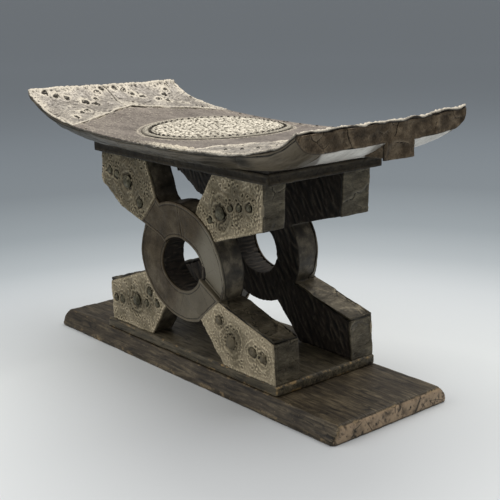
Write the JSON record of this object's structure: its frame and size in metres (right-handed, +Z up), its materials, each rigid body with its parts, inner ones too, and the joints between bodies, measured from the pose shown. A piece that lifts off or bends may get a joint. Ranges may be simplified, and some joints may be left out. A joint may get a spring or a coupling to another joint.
{
  "type": "carved stool",
  "caption": "Low carved stool or headrest: a curved seat on two knotted ring frames, a plinth and a long base, clad in embossed sheet metal.",
  "frame": {"origin": "centre of the base's underside, at floor level", "axes": "+X along the stool's length, +Y across it towards the far side, +Z up"},
  "size_m": [0.44, 0.204, 0.266],
  "materials": {
    "dark_wood": "dark waxed wood, worn lighter along its edges",
    "bare_wood": "rough gouged wood, blackened",
    "peg_wood": "plain pale hardwood",
    "band_metal": "smooth hammered sheet with a brown patina",
    "arm_metal": "embossed sheet, olive and beige, dark in its pits",
    "seat_metal": "embossed pale silver sheet with dark pits",
    "field_metal": "smooth grey-mauve sheet with fine speckle",
    "side_metal": "smooth folded sheet, grey and glossy at a low angle",
    "edge_metal": "smooth folded sheet with a dark olive patina",
    "end_metal": "creased sheet with a dark brown patina",
    "boss_metal": "rounded bosses, darker than the sheet round them"
  },
  "bodies": {
    "root": {"base_board": "dark_wood", "plinth": "dark_wood", "base_pegs": "peg_wood", "near_frame": "bare_wood", "far_frame": "bare_wood", "ledge": "dark_wood", "seat_board": "dark_wood", "seat_pegs": "peg_wood", "near_over_band": "band_metal", "near_under_band": "band_metal", "near_upper_left_sheet": "arm_metal", "near_upper_right_sheet": "arm_metal", "near_lower_left_sheet": "arm_metal", "near_lower_right_sheet": "arm_metal", "near_end_caps": "edge_metal", "near_leg_top_sheets": "edge_metal", "near_bosses": "boss_metal", "far_over_band": "band_metal", "far_under_band": "band_metal", "far_upper_left_sheet": "arm_metal", "far_upper_right_sheet": "arm_metal", "far_lower_left_sheet": "arm_metal", "far_lower_right_sheet": "arm_metal", "far_end_caps": "edge_metal", "far_leg_top_sheets": "edge_metal", "far_bosses": "boss_metal", "ledge_side_strips": "edge_metal", "ledge_end_strips": "edge_metal", "seat_field_sheet": "field_metal", "medallion_sheet": "seat_metal", "medallion_beads": "boss_metal", "left_end_panel": "seat_metal", "right_end_panel": "seat_metal", "near_edge_strip": "seat_metal", "far_edge_strip": "seat_metal", "near_side_sheet": "side_metal", "far_side_sheet": "side_metal", "belly_sheet": "side_metal", "left_end_sheet": "end_metal", "right_end_sheet": "end_metal", "left_panel_bosses": "boss_metal", "right_panel_bosses": "boss_metal", "far_edge_nails": "boss_metal"}
  },
  "joints": []
}
